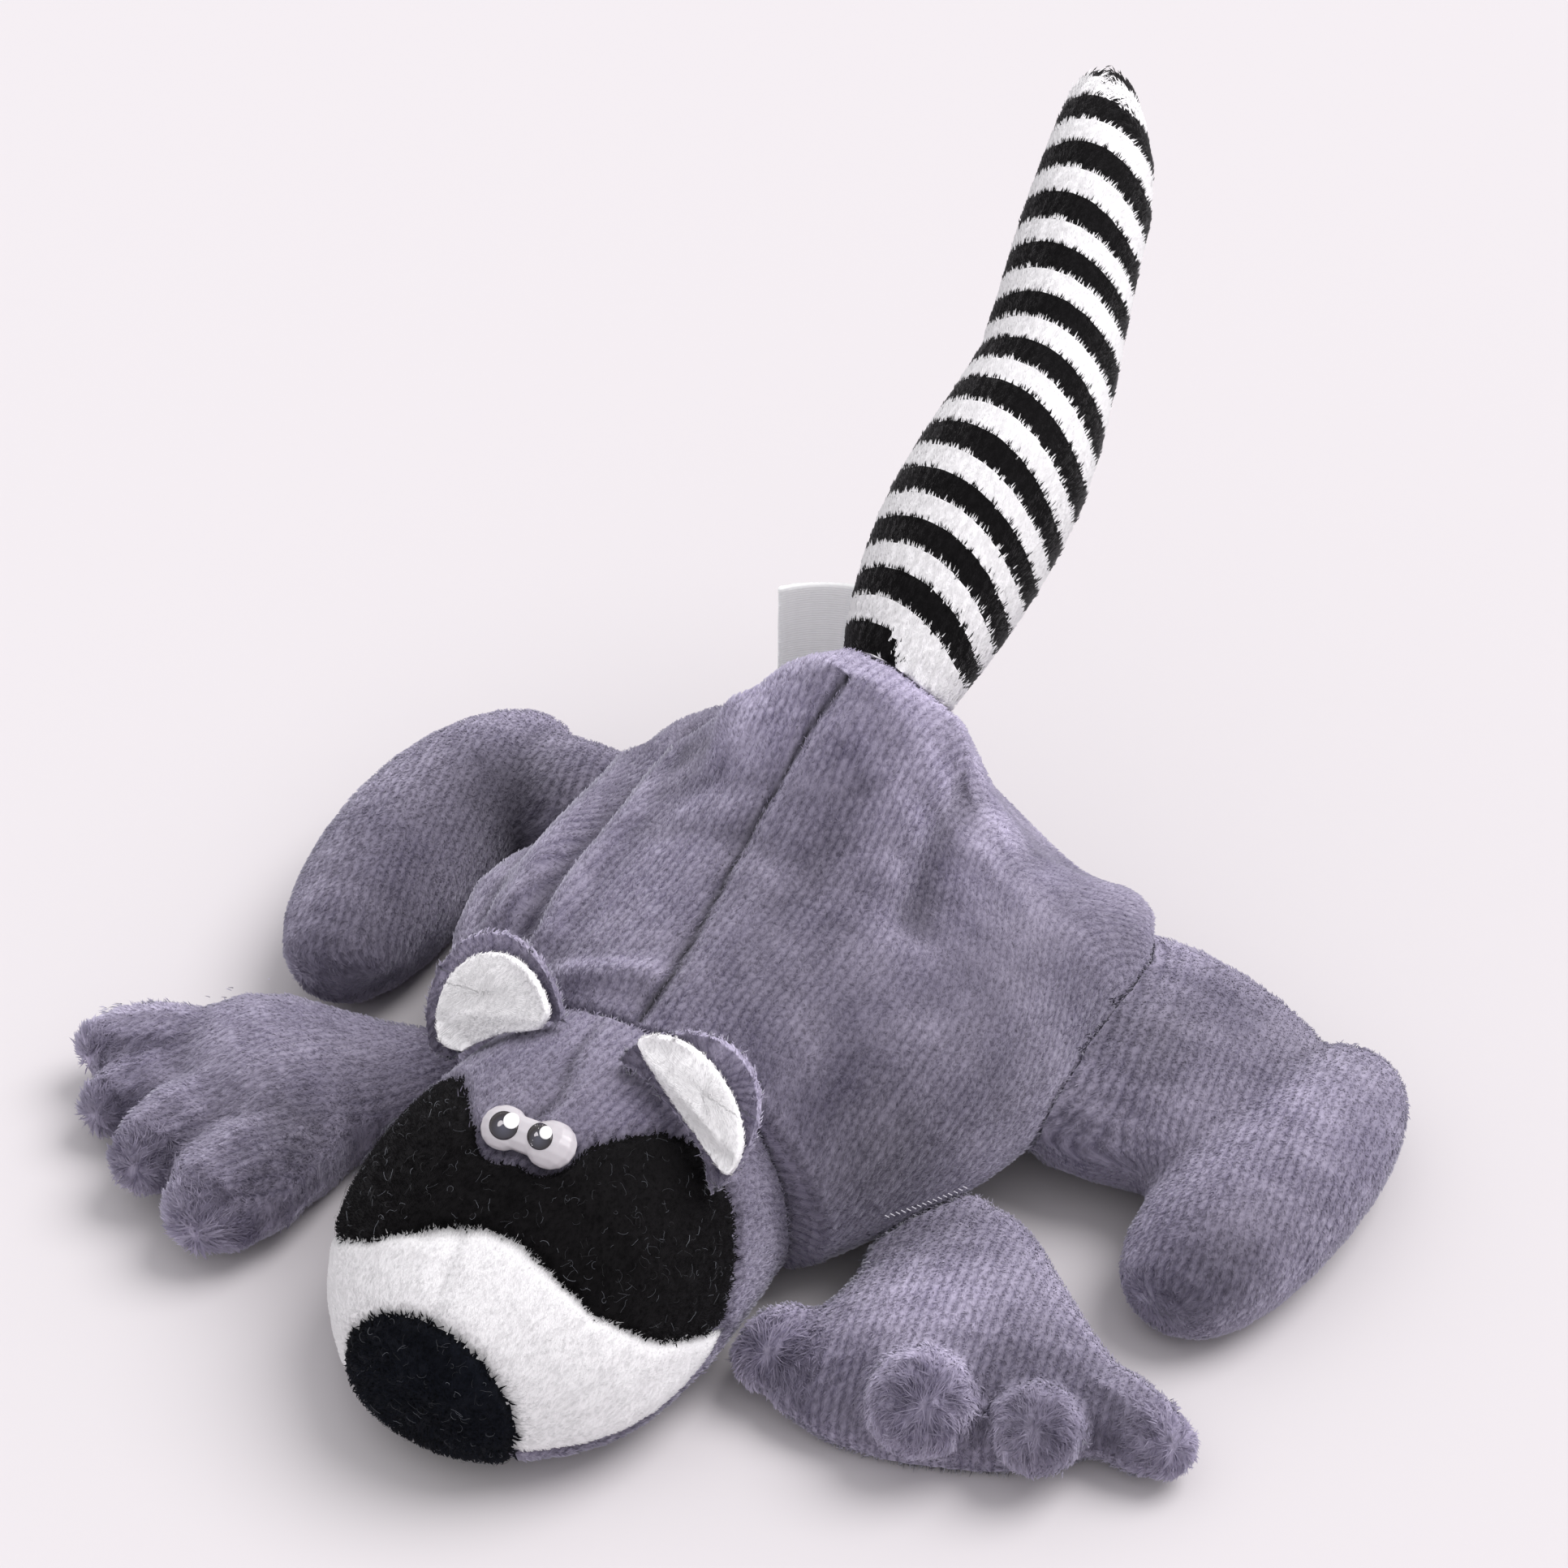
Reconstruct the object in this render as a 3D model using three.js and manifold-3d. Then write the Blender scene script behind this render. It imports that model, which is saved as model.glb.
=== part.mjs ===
// A small bean-bag raccoon lying on its belly: stuffed plush trunk, head, ears, four sewn-on legs and a
// raised striped tail. Millimetres, +Z up. The toy faces -Y, its left side is +X, and the floor is Z = 0.
import * as THREE from "three";
import { mergeVertices } from "three/addons/utils/BufferGeometryUtils.js";
import Module from "manifold-3d";

const wasm = await Module();
wasm.setup();

const V = (x, y, z) => new THREE.Vector3(x, y, z);
const radians = THREE.MathUtils.degToRad;
const TINY = 1e-6; // lengths and steps below this count as none
const WELD = 1e-4; // corners closer than this are one

// ---------------------------------------------------------------- driving dimensions
const GAP = 0.3; // clear space between two sewn pieces
const BLOCK = 400; // side of the blocks that trim the toy at the floor and at the neck
const NECK = -33; // the neck seam is a cut across the toy at this Y
const TRUNK = { front: -54, back: 48, axis: 12 };
const MOUND = { x: -1, y: 19, height: 20, across: 16, along: 15, flatness: 2.6, fade: 16 };
const HEAD = { back: -14, front: -81.5, axis: 10, turn: -1.5 };
const FACE_TURN = { angle: radians(8.5), centre: -60 }; // how the face is sewn on, askew
const PRISM = 100; // length of the prisms that part the head
const NOSE = { x: -0.4, z: 11, radius: 12.4, back: -75, depth: 30 };
const EYES = {
  place: V(0.9, -57.2, 38),
  spacing: 6.4,
  left: 3.1,
  right: 2.9,
  long: 1.1,
  bridge: 2.3,
  flat: 0.72,
  tilt: radians(28),
  turn: radians(4),
};
const EAR = {
  half: 10.4,
  height: 12.4,
  shell: 2.4,
  lining: 1.6,
  rim: 2.8,
  leftPad: { middle: 0, low: 3.6, half: 10, sunk: 1.6 },
  rightPad: { middle: 1, low: 0.6, half: 8.6, sunk: 3.4 },
  sunk: 4,
  cup: 2,
  left: V(11.6, -40.2, 32.6),
  right: V(-15.6, -37.6, 32),
  along: V(-0.826, 0.274, 0.495).normalize(),
  out: V(0.6, 0.42, 0.68),
};
const LABEL = {
  width: 13,
  height: 24,
  thick: 1,
  bow: 1.5,
  place: V(-17, 39, 23),
  turn: radians(30),
  lean: radians(-8),
};

// ---------------------------------------------------------------- making solids
// A smooth curve through [position, value] stations.
function profile(stations) {
  const curve = new THREE.SplineCurve(stations.map(([t, v]) => new THREE.Vector2(t, v)));
  const samples = curve.getPoints(stations.length * 16);
  return (t) => {
    let i = 1;
    while (i < samples.length - 1 && samples[i].x < t) i += 1;
    const [p, q] = [samples[i - 1], samples[i]];
    return p.y + (q.y - p.y) * THREE.MathUtils.clamp((t - p.x) / Math.max(q.x - p.x, TINY), 0, 1);
  };
}

// A stuffed form round a spine. Its cross-section has a half width, and heights above and below the spine.
// power shapes that section: 2 is an ellipse, less is a peaked ridge and more is boxy. ends does the same
// along the spine. extra grows the form on every side, and reshape moves each point of it afterwards.
function stuffed(form) {
  const { spine, width, up, down, ends, around, along, extra } = form;
  const { power = () => 2, reshape = () => {} } = form;
  const g = new THREE.SphereGeometry(1, around, along);
  const p = g.attributes.position;
  for (let i = 0; i < p.count; i += 1) {
    const [x, y, z] = [p.getX(i), THREE.MathUtils.clamp(p.getY(i), -1, 1), p.getZ(i)];
    const t = (1 + y) / 2;
    const flat = Math.hypot(x, z);
    const [c, s] = flat > TINY ? [x / flat, z / flat] : [1, 0];
    const ring = flat > TINY ? (1 - Math.abs(y) ** ends) ** (1 / ends) : 0;
    const n = 2 / power(t);
    const across = Math.sign(c) * Math.abs(c) ** n * (width(t) + extra) * ring;
    const rise = Math.sign(s) * Math.abs(s) ** n * ((s > 0 ? up(t) : down(t)) + extra) * ring;
    const ahead = spine.getTangent(THREE.MathUtils.clamp(t, TINY, 1 - TINY));
    const side = V(0, 0, 1).cross(ahead).normalize();
    const top = ahead.clone().cross(side).normalize();
    const at = spine.getPoint(t).addScaledVector(side, across).addScaledVector(top, rise);
    at.addScaledVector(ahead, extra * y);
    reshape(at);
    p.setXYZ(i, at.x, at.y, at.z);
  }
  return solid(g);
}

// A three.js geometry as a closed solid that faces out.
function solid(geometry) {
  const bare = geometry.clone().deleteAttribute("normal").deleteAttribute("uv");
  const merged = mergeVertices(bare, WELD);
  const vertProperties = new Float32Array(merged.attributes.position.array);
  const triVerts = new Uint32Array(merged.index.array);
  const made = new wasm.Manifold(new wasm.Mesh({ numProp: 3, vertProperties, triVerts }));
  if (made.volume() >= 0) return made;
  for (let i = 0; i < triVerts.length; i += 3) {
    [triVerts[i + 1], triVerts[i + 2]] = [triVerts[i + 2], triVerts[i + 1]];
  }
  return new wasm.Manifold(new wasm.Mesh({ numProp: 3, vertProperties, triVerts }));
}

const block = (x, y, z) => solid(new THREE.BoxGeometry(BLOCK, BLOCK, BLOCK).translate(x, y, z));
const floorBlock = block(0, 0, -BLOCK / 2);
const onFloor = (s) => s.subtract(floorBlock);
const joined = (parts) => parts.reduce((a, b) => a.add(b));
const largest = (s) => s.decompose().reduce((a, b) => (a.volume() > b.volume() ? a : b));
const line = (a, b) => new THREE.LineCurve3(a, b);
const bend = (...points) => new THREE.CatmullRomCurve3(points);

// All of a form on one side of the neck seam, kept a little back from it.
const sideOfNeck = (form, side, gap) => form.subtract(block(0, NECK - side * (BLOCK / 2 - gap / 2), 0));

// ---------------------------------------------------------------- trunk
// One wide bag from the neck seam to the rump, drawn up behind into a mound where the tail is sewn on.
// The pushes say where the filling bulges or sinks, how far each reaches, and which way it goes.
const TRUNK_PUSHES = [
  { at: V(-38, -14, 20), reach: 17, push: V(-5, -1, 3) },
  { at: V(-34, 36, 20), reach: 16, push: V(-3, 3, 4) },
  { at: V(24, 36, 26), reach: 13, push: V(0, -2, -7) },
  { at: V(36, 37, 19), reach: 13, push: V(2, 4, 7) },
  { at: V(26, 34, 28), reach: 7, push: V(0, 0, 3) },
  { at: V(13, 24, 49), reach: 7, push: V(4, 1.5, 1) },
];

function shapeTrunk(at) {
  const across = Math.abs((at.x - MOUND.x) / MOUND.across) ** MOUND.flatness;
  const along = ((at.y - MOUND.y) / MOUND.along) ** 2;
  const upper = THREE.MathUtils.smoothstep(at.z, TRUNK.axis, TRUNK.axis + MOUND.fade);
  at.z += MOUND.height * Math.exp(-across - along) * upper;
  const start = at.clone();
  for (const { at: centre, reach, push } of TRUNK_PUSHES) {
    at.addScaledVector(push, Math.exp(-start.distanceToSquared(centre) / reach ** 2));
  }
}

function trunkForm(extra) {
  const form = stuffed({
    spine: line(V(0, TRUNK.front, TRUNK.axis), V(0, TRUNK.back, TRUNK.axis)),
    width: profile([[0, 20], [0.2, 29], [0.45, 39], [0.7, 42], [0.85, 41], [1, 34]]),
    up: profile([[0, 22], [0.2, 26], [0.45, 28], [0.7, 28], [0.85, 25], [1, 18]]),
    down: () => 14,
    power: profile([[0, 2.1], [0.5, 1.9], [1, 1.8]]),
    ends: 3,
    around: 34,
    along: 24,
    extra,
    reshape: shapeTrunk,
  });
  return sideOfNeck(onFloor(form), 1, GAP - extra);
}

// ---------------------------------------------------------------- head
// A rounded wedge that rests on its chin, from the neck seam to the nose.
function headForm(extra) {
  const form = stuffed({
    spine: line(V(0, HEAD.back, HEAD.axis), V(HEAD.turn, HEAD.front, HEAD.axis)),
    width: profile([[0, 21], [0.3, 23.5], [0.6, 25], [0.8, 23.5], [0.93, 18.5], [1, 15]]),
    up: profile([[0, 24], [0.3, 27], [0.5, 28.5], [0.65, 28], [0.8, 23], [0.93, 18], [1, 16]]),
    down: profile([[0, 13], [0.6, 12.5], [0.85, 11.5], [1, 10]]),
    power: () => 2.15,
    ends: 3.6,
    around: 30,
    along: 20,
    extra,
  });
  return sideOfNeck(onFloor(form), -1, GAP - extra);
}

// The face is sewn from panels, so the head is parted along their seams. Seams are drawn on the side view
// (y, z) and the plan (x, y), a little turned, and each outline can be grown by the width of a gap.
// OVER, AHEAD and BESIDE close the outlines clear of the head.
const OVER = 48;
const AHEAD = -90;
const BESIDE = 40;
const MUZZLE_TOP = [
  [-66.8, OVER],
  [-67.5, 32],
  [-69, 29],
  [-69.2, 25],
  [-66.2, 20],
  [-63.5, 17.4],
  [-56.5, 12.5],
];
const MASK_SIDE = [...MUZZLE_TOP, [-53, 11.5], [-48.7, 17.8], [-45.9, 22.9], [-44, 31], [-43.6, OVER]];
const MASK_PLAN = [
  [0, -60],
  [3.5, -60.3],
  [7.5, -56],
  [13.5, -47.3],
  [19, -43.6],
  [BESIDE, -43.6],
  [BESIDE, AHEAD],
];
const MUZZLE_SIDE = [...MUZZLE_TOP, [-52.5, 9.5], [-60, 7], [AHEAD, 6.5], [AHEAD, OVER]];

const SHARPEST = 0.4; // keeps a grown corner from running out into a spike

function grown(points, by) {
  const corners = points.map(([x, y]) => new THREE.Vector2(x, y));
  const turn = Math.sign(THREE.ShapeUtils.area(corners));
  return corners.map((corner, i) => {
    const before = corner.clone().sub(corners.at(i - 1)).normalize();
    const after = corners[(i + 1) % corners.length].clone().sub(corner).normalize();
    const out = new THREE.Vector2(before.y + after.y, -before.x - after.x).multiplyScalar(turn).normalize();
    const square = new THREE.Vector2(before.y, -before.x).multiplyScalar(turn);
    return corner.clone().addScaledVector(out, by / Math.max(out.dot(square), SHARPEST));
  });
}

function turned(g) {
  return g.translate(0, -FACE_TURN.centre, 0).rotateZ(FACE_TURN.angle).translate(0, FACE_TURN.centre, 0);
}

// A prism through the head from an outline on its side view, and one from an outline on its plan.
function sideCut(points, by) {
  const shape = new THREE.Shape(grown(points, by));
  const g = new THREE.ExtrudeGeometry(shape, { depth: PRISM, bevelEnabled: false });
  g.translate(0, 0, -PRISM / 2).rotateZ(Math.PI / 2).rotateY(Math.PI / 2);
  return solid(turned(g));
}

function planCut(points, by) {
  const mirrored = points.slice(1).reverse().map(([x, y]) => [-x, y]);
  const shape = new THREE.Shape(grown([...points, ...mirrored], by));
  const g = new THREE.ExtrudeGeometry(shape, { depth: PRISM, bevelEnabled: false });
  return solid(turned(g));
}

const maskCut = (by) => sideCut(MASK_SIDE, by).intersect(planCut(MASK_PLAN, by));
const muzzleCut = (by) => sideCut(MUZZLE_SIDE, by);

function noseCut(by) {
  const g = new THREE.CylinderGeometry(NOSE.radius + by, NOSE.radius + by, NOSE.depth, 20);
  return solid(g.translate(NOSE.x, NOSE.back - NOSE.depth / 2 + by, NOSE.z));
}

// ---------------------------------------------------------------- eyes
// Both eyes are one glossy peanut of moulded plastic, set on the brow and facing up and forward.
function eyesForm(extra) {
  const lobe = (x, r) => {
    const g = new THREE.SphereGeometry(1, 12, 8);
    return g.scale(r * EYES.long + extra, r + extra, r * EYES.flat + extra).translate(x, 0, 0);
  };
  const bridge = new THREE.CylinderGeometry(1, 1, EYES.spacing, 10);
  bridge.rotateZ(Math.PI / 2).scale(1, EYES.bridge + extra, EYES.bridge * EYES.flat + extra);
  const parts = [lobe(EYES.spacing / 2, EYES.left), lobe(-EYES.spacing / 2, EYES.right), bridge];
  const tilt = new THREE.Euler(EYES.tilt, 0, EYES.turn);
  const move = new THREE.Matrix4().makeRotationFromEuler(tilt).setPosition(EYES.place);
  return joined(parts.map((g) => solid(g.applyMatrix4(move))));
}

// ---------------------------------------------------------------- ears
// A half-round flap, cupped forward, with a thinner white lining on its front. It is sunk into the head
// below its base line.
function earForm(side, { middle, half, height, low, sunk, thick, forward }) {
  const shape = new THREE.Shape();
  shape.absellipse(middle, low, half, height - low, 0, Math.PI, false);
  shape.absellipse(middle, low, half, sunk, Math.PI, 2 * Math.PI, false);
  shape.closePath();
  const g = new THREE.ExtrudeGeometry(shape, { depth: thick, bevelEnabled: false, curveSegments: 8 });
  const p = g.attributes.position;
  for (let i = 0; i < p.count; i += 1) {
    p.setZ(i, p.getZ(i) + forward + EAR.cup * (p.getX(i) / EAR.half) ** 2);
  }
  const out = EAR.out.clone().projectOnPlane(EAR.along).normalize();
  const facing = out.clone().cross(EAR.along);
  g.applyMatrix4(new THREE.Matrix4().makeBasis(EAR.along, out, facing));
  if (side < 0) g.scale(-1, 1, 1);
  const { x, y, z } = side < 0 ? EAR.right : EAR.left;
  return solid(g.translate(x, y, z));
}

// ---------------------------------------------------------------- legs
// Toes are stubby pads. Each has its middle at x, y, z, a radius, a length in radii, and a heading in
// degrees from the toy's front. The last one on the left leg is the swell of the palm's outer side.
function toes(list, extra) {
  return list.map(([x, y, z, radius, long, heading]) => {
    const g = new THREE.SphereGeometry(1, 9, 6);
    g.scale(radius + extra, long * radius + extra, radius + extra);
    g.rotateZ(radians(heading));
    return solid(g.translate(x, y, z));
  });
}

const FRONT_LEFT_TOES = [
  [28.5, -44.5, 5.5, 6, 1.2, -25],
  [48.5, -45.5, 8.8, 7.6, 1, 0],
  [62, -41, 7.8, 6.4, 1, 20],
  [67.5, -32, 5, 6.4, 1.9, 80],
  [58, -28.8, 5.5, 6.4, 1.9, 70],
];
const FRONT_RIGHT_TOES = [
  [-68, -43.6, 7, 6.6, 1.8, -60],
  [-64.4, -49.4, 5.5, 6.4, 1.7, -35],
  [-55.4, -55, 7.5, 7.2, 1.6, -12],
  [-43.2, -57, 7.5, 8.6, 1.55, -12],
];

function frontLegLeft(extra) {
  const palm = stuffed({
    spine: bend(V(36.5, -12, 6), V(44.6, -29.4, 6), V(53, -48.5, 4)),
    width: profile([[0, 9], [0.3, 12.4], [0.5, 16.8], [0.65, 21], [0.8, 25.5], [1, 24]]),
    up: profile([[0, 5], [0.4, 8], [0.7, 8.5], [1, 5]]),
    down: () => 10,
    ends: 3,
    around: 22,
    along: 13,
    extra,
  });
  return onFloor(joined([palm, ...toes(FRONT_LEFT_TOES, extra)]));
}

function frontLegRight(extra) {
  const palm = stuffed({
    spine: bend(V(-28, -26, 8), V(-45, -38, 8), V(-56.5, -52.5, 7)),
    width: profile([[0, 8], [0.35, 10], [0.6, 17], [0.8, 19], [1, 17]]),
    up: profile([[0, 5], [0.35, 5.4], [0.6, 8.4], [0.8, 9], [1, 7]]),
    down: () => 12,
    ends: 3.2,
    around: 22,
    along: 13,
    extra,
  });
  return onFloor(joined([palm, ...toes(FRONT_RIGHT_TOES, extra)]));
}

function hindLegLeft(extra) {
  const thigh = stuffed({
    spine: bend(V(24, 18, 11), V(44, 19, 11), V(68, 24, 8)),
    width: profile([[0, 21], [0.5, 21.5], [1, 17]]),
    up: profile([[0, 9], [0.5, 8], [1, 6]]),
    down: () => 13,
    ends: 3.2,
    around: 20,
    along: 10,
    extra,
  });
  const foot = stuffed({
    spine: bend(V(68, 37, 8), V(68, 13, 9), V(64.5, -17, 7)),
    width: profile([[0, 10], [0.5, 12], [1, 12.5]]),
    up: profile([[0, 7], [0.5, 8], [1, 9]]),
    down: () => 11,
    ends: 2.8,
    around: 22,
    along: 13,
    extra,
  });
  return onFloor(thigh.add(foot));
}

function hindLegRight(extra) {
  const thigh = stuffed({
    spine: bend(V(-26, 20, 11), V(-42, 21, 11), V(-62, 23, 10)),
    width: profile([[0, 13], [0.5, 12], [1, 12]]),
    up: profile([[0, 8], [0.5, 8], [1, 9]]),
    down: () => 13,
    ends: 2.8,
    around: 20,
    along: 10,
    extra,
  });
  const foot = stuffed({
    spine: bend(V(-59, 36, 9), V(-61, 8, 10), V(-57, -25, 9)),
    width: profile([[0, 11], [0.5, 12.5], [1, 12.5]]),
    up: profile([[0, 9], [0.5, 11], [1, 10]]),
    down: () => 12,
    ends: 2.6,
    around: 22,
    along: 13,
    extra,
  });
  return onFloor(thigh.add(foot));
}

// ---------------------------------------------------------------- tail
// A slim bag that leans back from the mound, thickest a third of the way up, with a slight bend above that.
function tailForm(extra) {
  const radius = profile([
    [0, 8.5],
    [0.14, 11.2],
    [0.29, 12.3],
    [0.43, 11.8],
    [0.57, 10],
    [0.71, 9.3],
    [0.86, 8.8],
    [1, 6],
  ]);
  const route = bend(
    V(2, 20, 46),
    V(0.8, 35, 55),
    V(0.5, 45.5, 61.3),
    V(0.8, 56, 68),
    V(0, 66, 74),
    V(-3, 77, 81),
    V(-6.5, 90, 89),
    V(-12.5, 103, 97),
  );
  const section = { width: radius, up: radius, down: radius };
  return stuffed({ spine: route, ...section, ends: 5, around: 18, along: 18, extra });
}

// ---------------------------------------------------------------- label
// A plain woven loop, caught in the rump seam behind the tail. It bows a little across its width.
function labelForm() {
  const half = LABEL.width / 2;
  const shape = new THREE.Shape();
  shape.moveTo(-half, 0);
  shape.quadraticCurveTo(0, 2 * LABEL.bow, half, 0);
  shape.lineTo(half, LABEL.thick);
  shape.quadraticCurveTo(0, LABEL.thick + 2 * LABEL.bow, -half, LABEL.thick);
  shape.closePath();
  const settings = { depth: LABEL.height, bevelEnabled: false, curveSegments: 6 };
  const g = new THREE.ExtrudeGeometry(shape, settings);
  g.rotateX(LABEL.lean);
  g.rotateZ(LABEL.turn);
  return solid(g.translate(LABEL.place.x, LABEL.place.y, LABEL.place.z));
}

// ---------------------------------------------------------------- sub-parts
const toy = new THREE.Group();

function add(name, form, colour, roughness = 0.9) {
  const { vertProperties, triVerts } = form.getMesh();
  const g = new THREE.BufferGeometry();
  g.setAttribute("position", new THREE.BufferAttribute(new Float32Array(vertProperties), 3));
  g.setIndex(new THREE.BufferAttribute(new Uint32Array(triVerts), 1));
  const material = new THREE.MeshStandardMaterial({ color: colour, roughness, metalness: 0 });
  const mesh = new THREE.Mesh(g, material);
  mesh.name = name;
  toy.add(mesh);
}

const GREY = 0x7c7f94;
const BLACK = 0x0c0c0e;
const NAVY = 0x10141c;
const WHITE = 0xeeeaee;

// Each piece is cut back from those it is sewn to.
const trunkClear = trunkForm(GAP);
const headClear = headForm(GAP);
const eyesClear = eyesForm(GAP);
const tail = largest(tailForm(0).subtract(trunkClear));
const clear = (s) => largest(s.subtract(trunkClear).subtract(headClear));

add("trunk", trunkForm(0), GREY);
const face = headForm(0).subtract(eyesClear);
const panels = joined([maskCut(GAP), muzzleCut(GAP), noseCut(GAP)]);
add("head", largest(face.subtract(panels)), GREY);
add("mask", largest(face.intersect(maskCut(0)).subtract(noseCut(GAP))), BLACK);
add("muzzle", largest(face.intersect(muzzleCut(0)).subtract(maskCut(GAP)).subtract(noseCut(GAP))), WHITE);
add("nose", largest(face.intersect(noseCut(0))), NAVY);
add("eyes", eyesForm(0), WHITE, 0.15);
for (const [name, side] of [["left", 1], ["right", -1]]) {
  const { half, height, sunk } = EAR;
  const flap = { middle: 0, low: 0, half, height, sunk, thick: EAR.shell, forward: 0 };
  const pad = {
    ...(side < 0 ? EAR.rightPad : EAR.leftPad),
    height: EAR.height - EAR.rim,
    thick: EAR.lining + 2 * GAP,
    forward: EAR.shell,
  };
  const shell = earForm(side, flap);
  const behind = earForm(side, { ...flap, thick: EAR.shell + GAP });
  const lining = earForm(side, pad);
  add(`ear_${name}`, clear(shell), GREY);
  add(`ear_${name}_lining`, clear(lining.subtract(behind)), WHITE);
}
add("front_leg_left", clear(frontLegLeft(0)), GREY);
add("front_leg_right", clear(frontLegRight(0)), GREY);
add("hind_leg_left", clear(hindLegLeft(0)), GREY);
add("hind_leg_right", clear(hindLegRight(0)), GREY);
add("tail", tail, WHITE);
add("label", largest(labelForm().subtract(trunkClear)), WHITE, 0.7);

export default toy;
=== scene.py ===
# A small bean-bag raccoon toy of short-pile plush, lying flat on its belly with its striped tail raised.
# It is dressed in the order that it is sewn: body, head, eyes, ears, legs, tail and label. Metres, +Z up.
import math

import bmesh
import bpy
import numpy as np
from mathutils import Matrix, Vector
from mathutils.bvhtree import BVHTree


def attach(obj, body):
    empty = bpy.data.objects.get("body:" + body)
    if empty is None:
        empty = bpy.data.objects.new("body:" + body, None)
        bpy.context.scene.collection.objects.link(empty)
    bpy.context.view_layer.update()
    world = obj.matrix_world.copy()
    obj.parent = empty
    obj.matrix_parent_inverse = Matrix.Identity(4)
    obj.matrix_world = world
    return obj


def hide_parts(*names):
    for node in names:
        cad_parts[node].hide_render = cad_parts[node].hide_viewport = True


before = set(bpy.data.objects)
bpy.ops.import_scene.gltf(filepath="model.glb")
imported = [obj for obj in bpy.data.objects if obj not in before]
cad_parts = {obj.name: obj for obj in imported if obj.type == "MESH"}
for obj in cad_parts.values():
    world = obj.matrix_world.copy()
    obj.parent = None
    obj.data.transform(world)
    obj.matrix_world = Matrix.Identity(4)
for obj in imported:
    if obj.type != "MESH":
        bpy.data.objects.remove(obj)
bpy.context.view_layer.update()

# ---------------------------------------------------------------- body
# The body is one wide bag of grey plush, cut as a left and a right half and sewn together down the back.
# It is filled loosely with pellets, so it sags into folds on its right side, and it is drawn up behind
# into the hump that carries the tail. The pile is knitted in ribs that run from the neck to the rump.
MM = 0.001
RIB = 1.25 * MM  # from one knitted rib to the next
BODY_VOXEL = 1.5 * MM
PILE_DEPTH = 0.7 * MM  # from the cloth up to the tips of the pile
SOFTNESS = 0.75  # share of the cloth's own direction in how a tuft catches light
GREY_COAT = {"density": 6.4, "length": 0.75 * MM, "width": 0.145 * MM, "height": 0.36 * MM, "sway": 0.55,
             "loose": 0.24, "varied": 0.1}


def choose(piece):
    """Selects one piece alone."""
    bpy.ops.object.select_all(action="DESELECT")
    piece.select_set(True)
    bpy.context.view_layer.objects.active = piece


def finished(piece, kind, **settings):
    """Adds a modifier with these settings and applies it."""
    choose(piece)
    modifier = piece.modifiers.new(kind.title(), kind)
    for setting, value in settings.items():
        setattr(modifier, setting, value)
    bpy.ops.object.modifier_apply(modifier=modifier.name)


def points(piece):
    co = np.empty(len(piece.data.vertices) * 3)
    piece.data.vertices.foreach_get("co", co)
    return co.reshape(-1, 3)


def normals(piece):
    n = np.empty(len(piece.data.vertices) * 3)
    piece.data.vertices.foreach_get("normal", n)
    return n.reshape(-1, 3)


def reshape(piece, co):
    piece.data.vertices.foreach_set("co", np.ravel(co))
    piece.data.update()


def unit(v):
    return v / np.maximum(np.linalg.norm(v, axis=-1, keepdims=True), 1e-12)


def ramp(x, low, high):
    """0 below low, 1 above high, and smooth between."""
    t = np.clip((x - low) / (high - low), 0, 1)
    return t * t * (3 - 2 * t)


def blurred(piece, field, rounds):
    """A value of each vertex, averaged with its neighbours' this many times."""
    ends = np.empty(len(piece.data.edges) * 2, np.int32)
    piece.data.edges.foreach_get("vertices", ends)
    a, b = ends.reshape(-1, 2).T
    count = np.maximum(np.bincount(ends, minlength=len(field)), 1)
    for _ in range(rounds):
        beside = np.bincount(a, field[b], len(field)) + np.bincount(b, field[a], len(field))
        field = (field + beside / count) / 2
    return field


def copied(name, nodes, swell=0.0):
    """The CAD solids of these nodes as one welded mesh. Swelling them closes the gaps between them."""
    whole = bmesh.new()
    for node in nodes:
        part = bmesh.new()
        part.from_mesh(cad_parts[node].data)
        bmesh.ops.remove_doubles(part, verts=part.verts, dist=0.001 * MM)
        part.normal_update()
        for v in part.verts:
            v.co += v.normal * swell
        mesh = bpy.data.meshes.new(name)
        part.to_mesh(mesh)
        whole.from_mesh(mesh)
        bpy.data.meshes.remove(mesh)
        part.free()
    mesh = bpy.data.meshes.new(name)
    whole.to_mesh(mesh)
    whole.free()
    piece = bpy.data.objects.new(name, mesh)
    bpy.context.scene.collection.objects.link(piece)
    return piece


def depth_below(piece, tree, reach):
    """How far each vertex lies inside a surface, looking in from just outside it."""
    found = np.full(len(piece.data.vertices), np.nan)
    for i, v in enumerate(piece.data.vertices):
        hit = tree.ray_cast(v.co + v.normal * reach, -v.normal, 2 * reach)
        if hit[0] is not None:
            found[i] = reach - hit[3]
    return np.where(np.isnan(found), np.nanmedian(found), found)


def bag(name, nodes, voxel, rounds, depth, swell=0.0):
    """A stuffed cloth bag: the solid remeshed, rounded, and set in by the depth of its pile."""
    piece = copied(name, nodes, swell)
    tree = BVHTree.FromObject(piece, bpy.context.evaluated_depsgraph_get())
    finished(piece, "REMESH", mode="VOXEL", voxel_size=voxel)
    finished(piece, "SMOOTH", factor=0.5, iterations=rounds)
    finished(piece, "SUBSURF", levels=1, render_levels=1)
    for _ in range(2):
        over = depth + swell - depth_below(piece, tree, 3 * MM)
        over = blurred(piece, np.clip(over, -1.5 * MM, 1.5 * MM), 8)
        reshape(piece, points(piece) - normals(piece) * over[:, None])
    for face in piece.data.polygons:
        face.use_smooth = True
    return piece


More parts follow.
